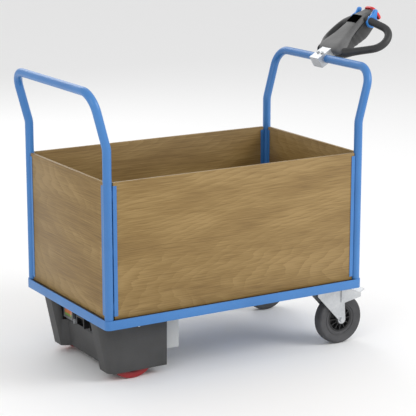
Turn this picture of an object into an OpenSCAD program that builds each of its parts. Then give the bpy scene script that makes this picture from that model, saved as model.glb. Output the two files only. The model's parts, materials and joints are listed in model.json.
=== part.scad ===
// Electric four-wall platform trolley: a steel platform with two tube hoops and four lift-out wooden
// walls, two braked swivel casters at the handle end, and a driven axle under a moulded cover at the other.
// Millimetres. +X points to the handle end, -Y is the near long side, Z = 0 is the floor.

/* [Platform] */
// Distance between the hoops, post centre to post centre
post_pitch_x = 1077; // [900:1:1300]
// Distance between the two posts of one hoop
post_pitch_y = 644; // [540:1:780]
// Height of the steel frame rail
frame_h = 35; // [30:1:42]
// Thickness of the frame's steel
frame_t = 3; // [2.5:0.1:3.6]
// Width of the shelf that carries the deck board
shelf_w = 30; // [25:1:36]
// Thickness of the deck board
deck_t = 18; // [15:1:21]
// Width of a deck bearer under the board
bearer_w = 130; // [110:1:156]

/* [Hoops] */
// Outside diameter of the hoop tube
tube_d = 32; // [27:0.5:38]
// Wall thickness of the hoop tube
tube_wall = 2; // [1.5:0.1:2.5]
// Height from the deck to the bend where a leg starts to lean
leg_h = 619.5; // [560:0.5:740]
// Height from that bend to the crossbar centre
lean_h = 200; // [170:1:240]
// Outward lean of the upper leg
lean_angle = 15; // [12:0.5:18]
// Centreline radius of the lower bend
lower_bend_r = 80; // [67:1:96]
// Centreline radius of the corner into the crossbar
upper_bend_r = 70; // [58:1:84]

/* [Walls] */
// Height of the wooden walls
panel_h = 500; // [420:1:590]
// Thickness of the wooden walls
panel_t = 12; // [10:0.5:14.5]
// Gap between the hoop tube and a wall channel
channel_gap = 2; // [1.6:0.1:2.4]
// Sheet thickness of a wall channel
channel_wall = 1.5; // [1.2:0.1:1.8]
// Depth of a wall channel along the wall
channel_depth = 15; // [12.5:0.5:18]
// Distance that a channel stops short of the wall's top and bottom edges
channel_short = 12; // [10:1:15]
// Clearance between a wall and its channel, on each side
panel_clear = 0.3; // [0.25:0.05:0.4]

/* [Wheels] */
// Diameter of the caster wheels and the drive wheels
wheel_d = 200; // [167:1:240]
// Width of a caster tyre
tyre_w = 46; // [38:1:55]
// Height between the wheel's top and the frame's underside
head_room = 35; // [33:1:42]
// Distance from the frame end to the swivel axis
caster_inset_x = 112; // [105:1:134]
// Distance from the frame side to the swivel axis
caster_inset_y = 77; // [75:1:92]
// Horizontal offset from the swivel axis to the wheel axle
trail = 54; // [45:1:65]
// Diameter of the wheel axle bolt
axle_d = 12; // [10:0.5:14.4]
// Thickness of the fork steel
fork_t = 3; // [2.5:0.1:3.6]

/* [Drive unit] */
// Length of the cover at its top
cover_l = 280; // [265:1:320]
// Width of the cover at its bottom
cover_w = 492; // [480:1:560]
// Wall of the moulded cover
cover_wall = 3; // [2.5:0.1:3.6]
// Ground clearance under the cover
cover_gap = 32; // [27:1:38]
// Distance from the frame end to the cover's end at its top
cover_inset = 18; // [15:1:21]
// Width of the recess in the cover's end
recess_w = 330; // [275:1:360]
// Depth of that recess
recess_d = 43; // [36:1:51]
// Width of a drive tyre
drive_tyre_w = 46; // [39:1:50]
// Length of the battery box along the trolley
battery_l = 75; // [63:1:90]
// Width of the battery box
battery_w = 400; // [340:1:480]

/* [Control head] */
// Tilt of the head above level
head_tilt = 40; // [34:0.5:46]
// Tilt of the bracket on the crossbar
bracket_tilt = 30; // [25:1:36]
// Width of the bracket tube
bracket_w = 60; // [50:1:72]
// Height of the bracket tube
bracket_h = 45; // [42:1:54]
// Length of the head casing
head_l = 222; // [200:1:266]
// Diameter of the loop handles
grip_d = 31; // [26:0.5:37]
// Travel of the reversing button in the head's tip
belly_travel = 6; // [5:0.5:7]

/* [Hidden] */
$fn = 64;

eps = 0.01;
clear = 0.3;          // gap between pieces that move past each other
run_clear = 0.05;     // radial clearance of a running fit
seat_clear = 0.2;     // gap between a welded or bolted piece and its neighbour
bend_swell = 0.05;    // a tube's bends stand this far proud of its straights

// Heights above the floor
frame_z = wheel_d + head_room;
deck_z = frame_z + frame_h;
shelf_top = deck_z - deck_t;
bend_z = deck_z + leg_h;
bar_z = bend_z + lean_h;
axle_z = wheel_d / 2;

// Plan positions
tube_r = tube_d / 2;
post_x = post_pitch_x / 2;
post_y = post_pitch_y / 2;
corner_r = tube_r + seat_clear + frame_t;
frame_x = post_x + corner_r;
frame_y = post_y + corner_r;
bar_out = lean_h * tan(lean_angle);
bar_x = post_x + bar_out;
caster_x = frame_x - caster_inset_x;
caster_y = frame_y - caster_inset_y;
wheel_x = caster_x + trail;

// Wall channels
channel_out = panel_t + 2 * panel_clear + 2 * channel_wall;
channel_x = tube_r + channel_gap;
panel_start = channel_x + channel_wall + 1;
channel_h = panel_h - 2 * channel_short;
channel_z = deck_z + channel_short;

// Control head: its frame starts on the casing's top edge, at the base
head_x = bar_x + 45;
head_z = bar_z + 46;
parting_w = -14;      // height of the joint between the two casing shells
head_wall = 3;
crown_w = 11;         // rise of the casing's top at its crest
crown_u = 140;
head_depth = 82;
base_half = 72;       // half width of the casing at its base
tip_half = 34;
paddle_u = 175;
paddle_w = -27;
boss_r = 13;
paddle_in = 47;       // from the head's centre plane to a paddle's inner face
paddle_t = 13;
droop = 20;           // the loop handles hang this far below the casing's cross direction
loop_pitch = -2.3;    // and rise this much towards the tip
loop_v = paddle_in + paddle_t + grip_d / 2 + 1;
loop_corner = [170, 221];
loop_root = [-14, -5];
loop_r = 61;
lap = 0.5;            // a handle's straights run this far into its bend
foot = [[-18, -2], [0, -34], [44, -34], [22, 24]];   // joins a handle's root to the casing's base
foot_t = 24;
button_r = 60;
button_u = 180;
button_w = -36;
button_back = head_l + belly_travel + clear + 0.7;
stem_r = 6;
button_half = 34;

// The finished part stands on the floor with its bounding box centred on the origin. Its ends are the
// drive end's crossbar and the lower edge of the reversing button.
tip_u = button_u + sqrt(pow(button_r, 2) - pow(button_half, 2));
tip_x = head_x + tip_u * cos(head_tilt) - (button_w - button_half) * sin(head_tilt);
x_shift = (bar_x + tube_r - tip_x) / 2;

module placed() translate([x_shift, 0, 0]) children();

// ---- Platform ----

module rounded_rect(l, w, r) {
    square([l - 2 * r, w], center = true);
    square([l, w - 2 * r], center = true);
    for (x = [-1, 1], y = [-1, 1])
        translate([x * (l / 2 - r), y * (w / 2 - r)]) circle(r);
}

module at_posts() {
    for (x = [-1, 1], y = [-1, 1])
        translate([x * post_x, y * post_y, 0]) children();
}

// The frame as one ring: an upright skirt with a shelf inside it, clear of the four posts
module frame_ring() {
    difference() {
        union() {
            translate([0, 0, frame_z]) linear_extrude(frame_h) difference() {
                rounded_rect(2 * frame_x, 2 * frame_y, corner_r);
                rounded_rect(2 * (frame_x - frame_t), 2 * (frame_y - frame_t), corner_r - frame_t);
            }
            translate([0, 0, shelf_top - frame_t]) linear_extrude(frame_t) difference() {
                rounded_rect(2 * frame_x - frame_t, 2 * frame_y - frame_t, corner_r - frame_t / 2);
                square([2 * (frame_x - shelf_w), 2 * (frame_y - shelf_w)], center = true);
            }
        }
        at_posts() translate([0, 0, frame_z - eps]) cylinder(r = tube_r + seat_clear, h = frame_h + 2 * eps);
    }
}

// A rail is the part of the ring between two mitres
module rail_side() {
    far = frame_y + 50;
    color("steelblue") intersection() {
        frame_ring();
        translate([0, 0, frame_z - 1]) linear_extrude(frame_h + 2)
            polygon([
                [-post_x - (far - post_y), -far], [post_x + (far - post_y), -far],
                [post_x - post_y, 0], [post_y - post_x, 0]
            ]);
    }
}

module rail_end() {
    far = frame_x + 50;
    color("steelblue") intersection() {
        frame_ring();
        translate([0, 0, frame_z - 1]) linear_extrude(frame_h + 2)
            polygon([[-far, -post_y - (far - post_x)], [-far, post_y + (far - post_x)], [post_y - post_x, 0]]);
    }
}

module frame_rail_front() rail_side();
module frame_rail_rear() mirror([0, 1, 0]) rail_side();
module frame_rail_left() rail_end();
module frame_rail_right() mirror([1, 0, 0]) rail_end();

module deck_board() {
    l = 2 * (frame_x - frame_t - seat_clear);
    w = 2 * (frame_y - frame_t - seat_clear);
    color([0.24, 0.2, 0.17]) difference() {
        translate([0, 0, shelf_top]) linear_extrude(deck_t) square([l, w], center = true);
        at_posts() {
            translate([0, 0, shelf_top - 1]) cylinder(r = tube_r + seat_clear, h = deck_t + 2);
        }
        for (x = [-1, 1], y = [-1, 1])
            translate([x * (post_x + tube_r + 20), y * (post_y + tube_r + 20), shelf_top + deck_t / 2])
                cube([2 * (tube_r + 20), 2 * (tube_r + 20), deck_t + 2], center = true);
    }
}

// An open-topped pressed channel across the platform, notched over the shelf and drilled for the casters
module bearer(x) {
    span = 2 * (frame_y - frame_t - seat_clear);
    depth = shelf_top - frame_z;
    difference() {
        translate([x - bearer_w / 2, -span / 2, frame_z]) cube([bearer_w, span, depth]);
        translate([x - bearer_w / 2 + frame_t, -span / 2 - 1, frame_z + frame_t])
            cube([bearer_w - 2 * frame_t, span + 2, depth]);
        for (y = [-1, 1])
            translate([x, y * (frame_y - shelf_w / 2 - seat_clear / 2), shelf_top])
                cube([bearer_w + 2, shelf_w + seat_clear, 2 * (frame_t + seat_clear / 2)], center = true);
    }
}

module deck_bearers() {
    middle_x = (caster_x + battery_x) / 2;
    color("steelblue") {
        difference() {
            bearer(caster_x);
            for (y = [-1, 1]) translate([caster_x, y * caster_y, 0]) {
                caster_bolt_places() translate([0, 0, frame_z - 1]) cylinder(r = bolt_r + seat_clear, h = frame_t + 2);
                translate([0, 0, frame_z - 1]) cylinder(r = kingpin_r + 3, h = frame_t + 2);
            }
        }
        bearer(middle_x);
        bearer(battery_x);
        difference() {
            bearer(drive_x);
            carrier_bolt_places() translate([0, 0, frame_z - 1]) cylinder(r = bolt_r + seat_clear, h = frame_t + 2);
        }
    }
}

// ---- Hoops ----

module pipe(l, r = tube_r, wall = tube_wall) {
    difference() {
        cylinder(r = r, h = l);
        translate([0, 0, -1]) cylinder(r = r - wall, h = l + 2);
    }
}

// A bend of radius r that starts at the origin going up and turns by a towards +X
module pipe_bend(r, a) {
    translate([r, 0, 0]) rotate([90, 0, 0]) rotate([0, 0, 180 - a]) rotate_extrude(angle = a) translate([r, 0])
        difference() {
            circle(tube_r + bend_swell);
            circle(tube_r - tube_wall - bend_swell);
        }
}

// One leg and half the crossbar, from the foot at the origin, leaning to +X and with the crossbar to +Y
module hoop_half() {
    set_back = lower_bend_r * tan(lean_angle / 2);
    lean_l = lean_h / cos(lean_angle);
    straight = bend_z - set_back - frame_z;
    pipe(straight);
    translate([0, 0, straight]) pipe_bend(lower_bend_r, lean_angle);
    translate([0, 0, bend_z - frame_z]) rotate([0, lean_angle, 0]) {
        translate([0, 0, set_back]) pipe(lean_l - set_back - upper_bend_r);
        translate([0, 0, lean_l - upper_bend_r]) rotate([0, 0, 90]) pipe_bend(upper_bend_r, 90);
        translate([0, upper_bend_r, lean_l]) rotate([-90, 0, 0]) pipe(post_y - upper_bend_r);
    }
}

module hoop() {
    color("steelblue") for (y = [0, 1]) mirror([0, y, 0])
        translate([post_x, -post_y, frame_z]) hoop_half();
}

module hoop_handle_end() hoop();
module hoop_drive_end() mirror([1, 0, 0]) hoop();

// ---- Walls and their channels ----

// A channel beside a post at the origin, open to +X, with three weld tabs back to the tube
module channel() {
    difference() {
        translate([channel_x, -channel_out / 2, channel_z]) cube([channel_depth, channel_out, channel_h]);
        translate([channel_x + channel_wall, -channel_out / 2 + channel_wall, channel_z - 1])
            cube([channel_depth, channel_out - 2 * channel_wall, channel_h + 2]);
    }
    difference() {
        for (i = [0 : 2])
            translate([tube_r - 2, -4, channel_z + 20 + i * (channel_h - 70) / 2]) cube([channel_gap + 2, 8, 30]);
        translate([0, 0, channel_z - 1]) cylinder(r = tube_r, h = channel_h + 2);
    }
}

module channels_side() {
    color("steelblue") for (x = [0, 1]) mirror([x, 0, 0]) translate([-post_x, -post_y, 0]) channel();
}

module channels_end() {
    color("steelblue") for (y = [0, 1]) mirror([0, y, 0])
        translate([-post_x, -post_y, 0]) rotate([0, 0, 90]) channel();
}

module channels_front() channels_side();
module channels_rear() mirror([0, 1, 0]) channels_side();
module channels_left() channels_end();
module channels_right() mirror([1, 0, 0]) channels_end();

module wall_panel(pitch) {
    color("burlywood") translate([-pitch / 2 + panel_start, -panel_t / 2, deck_z])
        cube([pitch - 2 * panel_start, panel_t, panel_h]);
}

module panel_front() translate([0, -post_y, 0]) wall_panel(post_pitch_x);
module panel_rear() translate([0, post_y, 0]) wall_panel(post_pitch_x);
module panel_left() translate([-post_x, 0, 0]) rotate([0, 0, 90]) wall_panel(post_pitch_y);
module panel_right() translate([post_x, 0, 0]) rotate([0, 0, 90]) wall_panel(post_pitch_y);

// ---- Swivel casters ----

plate_l = 135;
plate_w = 110;
plate_t = 4;
plate_pitch = [105, 75];
bolt_r = 5;
race_r = 36;
race_h = 9;
ring_r = 41;
ring_h = 8;
kingpin_r = 8;
crown_z = frame_z - plate_t - race_h - clear;   // top of the fork crown
crown_t = 4;
leg_in = tyre_w / 2 + 3;
leg_out = leg_in + fork_t;
pivot_r = 4;
pivot_at = [58, crown_z - 34];
pedal_in = leg_out + 1;
pedal_t = 2.5;
fork_boss_r = 17;

module at_caster(side) translate([caster_x, side * caster_y, 0]) children();

module caster_bolt_places() {
    for (x = [-1, 1], y = [-1, 1])
        translate([x * plate_pitch[0] / 2, y * plate_pitch[1] / 2, 0]) children();
}

module caster_plate() {
    difference() {
        union() {
            translate([-plate_l / 2, -plate_w / 2, frame_z - plate_t]) cube([plate_l, plate_w, plate_t]);
            translate([0, 0, frame_z - plate_t - race_h]) cylinder(r = race_r, h = race_h);
        }
        translate([0, 0, crown_z]) cylinder(r = kingpin_r, h = 40);
        caster_bolt_places() translate([0, 0, frame_z - 20]) cylinder(r = bolt_r + seat_clear, h = 40);
    }
}

module caster_plates() color("silver") for (side = [-1, 1]) at_caster(side) caster_plate();

// Bolt head below the plate, nut on the bearer's web
module hex_bolt(r, under, grip) {
    translate([0, 0, under - 6.4]) cylinder(r = 1.85 * r, h = 6.4, $fn = 6);
    translate([0, 0, under - 1]) cylinder(r = r, h = grip + 9.5);
    translate([0, 0, under + grip]) cylinder(r = 1.85 * r, h = 7, $fn = 6);
}

module frame_bolts() {
    color("gainsboro") {
        for (side = [-1, 1]) at_caster(side)
            caster_bolt_places() hex_bolt(bolt_r, frame_z - plate_t, plate_t + frame_t);
        carrier_bolt_places() hex_bolt(bolt_r, frame_z - carrier_t, carrier_t + frame_t);
    }
}

module seal_rings() {
    color("crimson") for (side = [-1, 1]) at_caster(side)
        translate([0, 0, frame_z - plate_t]) rotate_extrude() polygon([
            [race_r, 0], [race_r, -ring_h], [ring_r - 1.5, -ring_h], [ring_r, -ring_h + 1.5], [ring_r, 0]
        ]);
}

// The pin that the fork swivels on, riveted over above the plate
module kingpins() {
    color("silver") for (side = [-1, 1]) at_caster(side) {
        translate([0, 0, crown_z - crown_t - clear - 4]) cylinder(r = kingpin_r + 5, h = 4);
        translate([0, 0, crown_z - crown_t - clear - 1]) cylinder(r = kingpin_r, h = frame_z - crown_z + crown_t + clear + 3);
    }
}

// Side view of a fork leg, swivel axis at x = 0
module leg_outline() {
    polygon([
        [-60, crown_z], [66, crown_z], [66, crown_z - 30], [trail + 12, axle_z + 74],
        [trail + fork_boss_r, axle_z], [trail - fork_boss_r, axle_z + 2], [-60, crown_z - 14]
    ]);
    translate([trail, axle_z]) circle(fork_boss_r);
}

module fork() {
    color("gainsboro") difference() {
        union() {
            translate([0, 0, crown_z - crown_t]) linear_extrude(crown_t) intersection() {
                union() {
                    circle(race_r + 24);
                    translate([0, -leg_out]) square([66, 2 * leg_out]);
                }
                square([200, 2 * leg_out], center = true);
            }
            for (side = [0, 1]) mirror([0, side, 0])
                translate([0, -leg_in, 0]) rotate([90, 0, 0]) linear_extrude(fork_t) leg_outline();
            for (side = [-1, 1]) translate([pivot_at[0], side * (leg_out - 1), pivot_at[1]])
                rotate([-side * 90, 0, 0]) cylinder(r = pivot_r, h = 1 + pedal_t + 2.5);
        }
        translate([0, 0, crown_z - 20]) cylinder(r = kingpin_r + run_clear, h = 30);
        translate([trail, 0, axle_z]) rotate([90, 0, 0])
            cylinder(r = axle_d / 2 + seat_clear, h = 3 * leg_out, center = true);
    }
}

module caster_fork_near() at_caster(-1) fork();
module caster_fork_far() at_caster(1) fork();

// Pressed brake pedal: two cheeks outside the fork, a slotted back that slopes down and an upturned toe
module pedal() {
    reach = 142;
    end_z = crown_z - 25;
    half = pedal_in + pedal_t;
    color("gainsboro") difference() {
        union() {
            for (side = [0, 1]) mirror([0, side, 0]) translate([0, -pedal_in, 0]) rotate([90, 0, 0])
                linear_extrude(pedal_t) polygon([
                    [pivot_at[0] - 10, pivot_at[1] - 16], [pivot_at[0] + 2, pivot_at[1] - 21],
                    [reach - 1, end_z - 15], [reach, end_z], [70, crown_z + 1], [pivot_at[0] - 10, crown_z - 3]
                ]);
            translate([0, half, 0]) rotate([90, 0, 0]) linear_extrude(2 * half)
                polygon([[70, crown_z + 1], [70, crown_z - 1.6], [reach, end_z - 2.6], [reach, end_z]]);
            translate([0, 24, 0]) rotate([90, 0, 0]) linear_extrude(48) polygon([
                [reach - 4, end_z - 1], [reach - 2, end_z - 3], [reach + 23, end_z + 10], [reach + 22, end_z + 12.5]
            ]);
        }
        for (y = [-12, 12]) translate([84, y - 3, crown_z - 40]) cube([34, 6, 60]);
        translate([pivot_at[0], 0, pivot_at[1]]) rotate([90, 0, 0])
            cylinder(r = pivot_r + run_clear, h = 4 * leg_out, center = true);
    }
}

module brake_pedal_near() at_caster(-1) pedal();
module brake_pedal_far() at_caster(1) pedal();

// Axle bolt with a nut at each end
module wheel_axle() {
    color("silver") translate([trail, 0, axle_z]) rotate([90, 0, 0]) {
        cylinder(r = axle_d / 2, h = 2 * leg_out + 10, center = true);
        for (side = [-1, 1]) translate([0, 0, side * (leg_out + 4)])
            cylinder(r = 0.9 * axle_d, h = 8, center = true, $fn = 6);
    }
}

module wheel_axle_near() at_caster(-1) wheel_axle();
module wheel_axle_far() at_caster(1) wheel_axle();

rim_r = 0.37 * wheel_d;
rim_w = tyre_w - 14;
hub_r = 22;
hub_w = 2 * leg_in - 1;

module at_wheel() translate([trail, 0, axle_z]) rotate([90, 0, 0]) children();

// Moulded rim: outer band, web disc, ribs on both faces and a hub bored for the axle
module caster_rim() {
    color([0.15, 0.15, 0.16]) at_wheel() difference() {
        union() {
            difference() {
                cylinder(r = rim_r, h = rim_w, center = true);
                cylinder(r = rim_r - 5, h = rim_w + 2, center = true);
            }
            cylinder(r = rim_r - 2, h = 5, center = true);
            cylinder(r = hub_r, h = hub_w, center = true);
            for (i = [0 : 9]) rotate([0, 0, 36 * i]) translate([hub_r - 2, -2, -rim_w / 2 + 2])
                cube([rim_r - hub_r - 1, 4, rim_w - 4]);
        }
        cylinder(r = axle_d / 2 + run_clear, h = hub_w + 2, center = true);
    }
}

module caster_rim_near() at_caster(-1) caster_rim();
module caster_rim_far() at_caster(1) caster_rim();

// Solid rubber tyre with a raised ring on each side
module caster_tyre() {
    h = tyre_w / 2;
    r = wheel_d / 2;
    color("dimgray") at_wheel() rotate_extrude($fn = 96) polygon([
        [rim_r, -rim_w / 2 - 1], [rim_r + 6, -h + 4], [rim_r + 10, -h + 3], [r - 9, -h], [r - 3, -h + 5], [r, -h + 14],
        [r, h - 14], [r - 3, h - 5], [r - 9, h], [rim_r + 10, h - 3], [rim_r + 6, h - 4], [rim_r, rim_w / 2 + 1]
    ]);
}

module caster_tyre_near() at_caster(-1) caster_tyre();
module caster_tyre_far() at_caster(1) caster_tyre();

// ---- Drive unit ----

cover_end = -frame_x + cover_inset;
cover_back = cover_end + cover_l;
cover_h = frame_z - cover_gap;
cover_taper = 0.854;          // length at the bottom over length at the top
battery_gap = 1;
drive_x = cover_end + 144;
carrier_t = 4;
carrier_side = cover_w / 2 - cover_wall - 2;
lip_t = 3;
cheek_t = 5;
drive_in = cover_w / 2 - cover_wall - 9 - drive_tyre_w;   // inner face of a drive tyre
cheek_y = drive_in - 12 - cheek_t;
stub_r = 10;
motor_r = 52;
drive_hub_r = 0.4 * wheel_d;
sill_z = deck_z - 130;        // top of the recess wall, below the controls
window_w = recess_w - 20;
recess_slope = (1 - cover_taper) * (cover_l - recess_d) / cover_h;
plate_x = cover_end + recess_d + recess_slope * (frame_z - sill_z);
battery_x = cover_back + battery_gap + battery_l / 2;

module carrier_bolt_places() {
    for (x = [-1, 1], y = [-1, 1])
        translate([drive_x + x * 50, y * 90, 0]) children();
}

// Top plate with two welded cheeks that hold the stub axles
module drive_carrier() {
    color("slategray") difference() {
        union() {
            translate([plate_x, -carrier_side, frame_z - carrier_t])
                cube([cover_back - cover_wall - 4 - plate_x, 2 * carrier_side, carrier_t]);
            for (side = [0, 1]) mirror([0, side, 0])
                translate([drive_x - 7, -carrier_side, frame_z - 40]) cube([50, lip_t, 38]);
            for (side = [0, 1]) mirror([0, side, 0]) translate([drive_x, -cheek_y, 0]) rotate([90, 0, 0])
                linear_extrude(cheek_t) {
                    polygon([[-75, frame_z - carrier_t], [75, frame_z - carrier_t], [34, axle_z - 20], [-34, axle_z - 20]]);
                    translate([0, axle_z]) circle(40);
                }
        }
        translate([drive_x, 0, axle_z]) rotate([90, 0, 0]) cylinder(r = stub_r, h = 2 * cover_w, center = true);
        carrier_bolt_places() translate([0, 0, frame_z - 20]) cylinder(r = bolt_r + seat_clear, h = 30);
        cover_screw_places() cylinder(r = 2.6, h = 20, center = true);
    }
}

module drive_side(side) translate([drive_x, 0, axle_z]) rotate([side * -90, 0, 0]) children();

// Stub axles, each with a washer and a nut outside the wheel
module drive_axles() {
    color("silver") for (side = [-1, 1]) drive_side(side) {
        translate([0, 0, cheek_y]) cylinder(r = stub_r, h = drive_in + drive_tyre_w - cheek_y);
        translate([0, 0, drive_in + drive_tyre_w - 8 + clear]) cylinder(r = stub_r + 6, h = 6, $fn = 6);
    }
}

// A motor with its gearbox, bolted to the inner face of each cheek
module gear_motors() {
    color([0.3, 0.3, 0.32]) for (side = [-1, 1]) drive_side(side) {
        translate([0, 0, cheek_y - 34]) cylinder(r = motor_r - 6, h = 34);
        translate([0, 0, cheek_y - 110]) cylinder(r = motor_r, h = 77);
    }
}

module drive_hub() {
    color("gray") difference() {
        union() {
            translate([0, 0, drive_in + 3]) difference() {
                cylinder(r = drive_hub_r, h = drive_tyre_w - 6);
                translate([0, 0, -1]) cylinder(r = drive_hub_r - 5, h = drive_tyre_w - 4);
            }
            translate([0, 0, drive_in + drive_tyre_w / 2 - 3]) cylinder(r = drive_hub_r - 3, h = 6);
            translate([0, 0, drive_in - 8]) cylinder(r = stub_r + 12, h = drive_tyre_w);
        }
        translate([0, 0, drive_in - 20]) cylinder(r = stub_r + run_clear, h = drive_tyre_w + 40);
    }
}

module drive_hub_near() drive_side(-1) drive_hub();
module drive_hub_far() drive_side(1) drive_hub();

module drive_tyre() {
    r = wheel_d / 2;
    h = drive_tyre_w;
    color("firebrick") translate([0, 0, drive_in]) rotate_extrude($fn = 96) polygon([
        [drive_hub_r, 2], [r - 4, 0], [r - 1, 2], [r, 6], [r, h - 6], [r - 1, h - 2], [r - 4, h], [drive_hub_r, h - 2]
    ]);
}

module drive_tyre_near() drive_side(-1) drive_tyre();
module drive_tyre_far() drive_side(1) drive_tyre();

// Plan of the cover at its top, inset by d, with its back edge at x = 0 and the recess at -X
module cover_plan(d) {
    lobe_r = 30 - d;
    half = cover_w / 2 - d;
    rec = recess_w / 2 + d;
    difference() {
        union() {
            translate([-cover_l + d + lobe_r, -half]) square([cover_l - 2 * d - lobe_r, 2 * half]);
            translate([-cover_l + d, -half + lobe_r]) square([cover_l - 2 * d, 2 * (half - lobe_r)]);
            for (y = [-1, 1]) translate([-cover_l + d + lobe_r, y * (half - lobe_r)]) circle(lobe_r, $fn = 48);
        }
        polygon([
            [-cover_l - 5, -rec - 4], [-cover_l + recess_d + d, -rec + 20], [-cover_l + recess_d + d, rec - 20],
            [-cover_l - 5, rec + 4]
        ]);
    }
}

module cover_solid(d, top, bottom) {
    translate([cover_back, 0, top]) mirror([0, 0, 1])
        linear_extrude(top - bottom, scale = [cover_taper, 0.99], slices = 1) cover_plan(d);
}

// Moulded hood, open below, with a window above the recess sill for the controls
module drive_cover() {
    color([0.29, 0.29, 0.29]) difference() {
        cover_solid(0, frame_z, cover_gap);
        cover_solid(cover_wall, frame_z + eps, cover_gap - 1);
        translate([cover_end - 10, -window_w / 2, sill_z]) cube([recess_d + 40, window_w, 200]);
        translate([cover_back - 31, -cover_w, frame_z - 9]) cube([32, 2 * cover_w, 10]);
        cover_screw_places() cylinder(r = 2.6, h = 20, center = true);
    }
}

// Screws through the cover's sides and lobes into the carrier's edge
module cover_screw_places() {
    for (y = [-1, 1]) translate([drive_x + 18, y * (cover_w / 2), frame_z - 30]) rotate([90, 0, 0]) children();
}

module cover_screws() {
    color("white") for (side = [0, 1]) mirror([0, side, 0])
        translate([drive_x + 18, -cover_w / 2, frame_z - 30]) rotate([90, 0, 0]) {
            cylinder(r = 6, h = 2.2);
            translate([0, 0, -11]) cylinder(r = 2.5, h = 12);
        }
}

// Plate behind the window that carries the controls
module control_plate() {
    color([0.14, 0.14, 0.14]) difference() {
        translate([plate_x, -window_w / 2, sill_z]) cube([4, window_w, frame_z - carrier_t - sill_z]);
        at_key() cylinder(r = key_r, h = 10, center = true);
    }
}

screen_y = 115;
key_r = 8;
key_y = 42;

module status_bezel() {
    color("dimgray") translate([plate_x - 10, screen_y - 39, sill_z + 12]) difference() {
        cube([10, 78, 56]);
        translate([-1, 8, 9]) cube([5, 62, 38]);
    }
}

module status_screen() {
    color("darkorange") translate([plate_x - 9, screen_y - 31, sill_z + 21]) cube([3, 62, 38]);
}

module charge_socket() {
    color([0.1, 0.1, 0.1]) {
        translate([plate_x - 6, -64, sill_z + 10]) cube([6, 84, 56]);
        translate([plate_x - 26, -54, sill_z + 18]) difference() {
            cube([20.5, 64, 40]);
            translate([-1, 6, 6]) cube([16, 52, 28]);
        }
    }
}

module at_key() translate([plate_x, key_y, sill_z + 22]) rotate([0, -90, 0]) children();

module key_barrel() {
    color("silver") at_key() difference() {
        union() {
            translate([0, 0, -12]) cylinder(r = key_r - 0.1, h = 13);
            cylinder(r = key_r + 3, h = 6);
        }
        translate([0, 0, -2]) cylinder(r = 4 + run_clear, h = 20);
    }
}

module key_switch() {
    color("gray") at_key() {
        translate([0, 0, -1.5]) cylinder(r = 4, h = 9);
        translate([-9, -2, 7]) cube([18, 4, 14]);
    }
}

box_h = 157;

// Sheet-metal battery box behind the cover, hung from the frame
module battery_box() {
    color("lightgray") translate([battery_x - battery_l / 2, -battery_w / 2, frame_z - box_h]) difference() {
        cube([battery_l, battery_w, box_h - 2]);
        translate([2, 2, 2]) cube([battery_l - 4, battery_w - 4, box_h]);
    }
}

module battery_lid() {
    color("lightgray") translate([battery_x - battery_l / 2, -battery_w / 2, frame_z - 2]) cube([battery_l, battery_w, 2]);
}

module battery_pack() {
    color([0.2, 0.2, 0.22]) for (side = [0, 1]) mirror([0, side, 0])
        translate([battery_x - battery_l / 2 + 5, 4, frame_z - box_h + 2])
            cube([battery_l - 10, battery_w / 2 - 10, box_h - 20]);
}

// ---- Control head ----

module at_bar() translate([bar_x, 0, bar_z]) rotate([0, -bracket_tilt, 0]) children();
module at_head() translate([head_x, 0, head_z]) rotate([0, -head_tilt, 0]) children();

bracket_back = -33;
bracket_drop = 3;
bracket_wall = 3;

// Square tube over the crossbar, cut to meet the casing's base
module head_bracket() {
    color("gainsboro") difference() {
        at_bar() translate([bracket_back, -bracket_w / 2, -bracket_h / 2 + bracket_drop]) difference() {
            cube([150, bracket_w, bracket_h]);
            translate([-1, bracket_wall, bracket_wall])
                cube([160, bracket_w - 2 * bracket_wall, bracket_h - 2 * bracket_wall]);
        }
        at_head() translate([0, -100, -300]) cube([400, 200, 600]);
        translate([bar_x, 0, bar_z]) rotate([90, 0, 0]) cylinder(r = tube_r, h = 200, center = true);
        at_screws() cylinder(r = 4, h = 20, center = true);
    }
}

module bracket_cap() {
    color("black") at_bar() {
        translate([bracket_back - 2.5, -bracket_w / 2, -bracket_h / 2 + bracket_drop]) cube([2.5, bracket_w, bracket_h]);
        translate([bracket_back, -bracket_w / 2 + bracket_wall, -bracket_h / 2 + bracket_drop + bracket_wall])
            cube([10, bracket_w - 2 * bracket_wall, bracket_h - 2 * bracket_wall]);
    }
}

module at_screws() {
    for (y = [-14, 14]) at_bar() translate([0, y, bracket_h / 2 + bracket_drop]) children();
}

// Two clamp screws through the bracket's top down to the crossbar
module bracket_screws() {
    color("silver") difference() {
        at_screws() {
            cylinder(r = 6.5, h = 6);
            translate([0, 0, -15]) cylinder(r = 4, h = 16);
        }
        translate([bar_x, 0, bar_z]) rotate([90, 0, 0]) cylinder(r = tube_r, h = 200, center = true);
        at_screws() translate([0, 0, 2.5]) cylinder(r = 3, h = 10, $fn = 6);
    }
}

// A slice of the casing: a flat outline inset by d, from the base to the tip
module slice(w, u0, u1, half0, half1, d) {
    translate([0, 0, w]) linear_extrude(0.1)
        polygon([[u0 + d, -half0 + d], [u1 - d, -half1 + d], [u1 - d, half1 - d], [u0 + d, half0 - d]]);
}

module cross_bar(u, w, half, r, d) {
    translate([u, 0, w]) rotate([90, 0, 0]) cylinder(r = r - d, h = 2 * (half - d), center = true, $fn = 32);
}

module upper_blank(d) {
    hull() {
        slice(parting_w + (d > 0 ? -1 : 0), 0, head_l, 57, 34, d);
        slice(-4 - d, 0, head_l, 50, 34, d);
        slice(-d - 0.1, 3, head_l - 1, 44, 31, d);
        slice(crown_w - d - 0.1, 84, crown_u + 24, 33, 30, d);
    }
}

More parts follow.
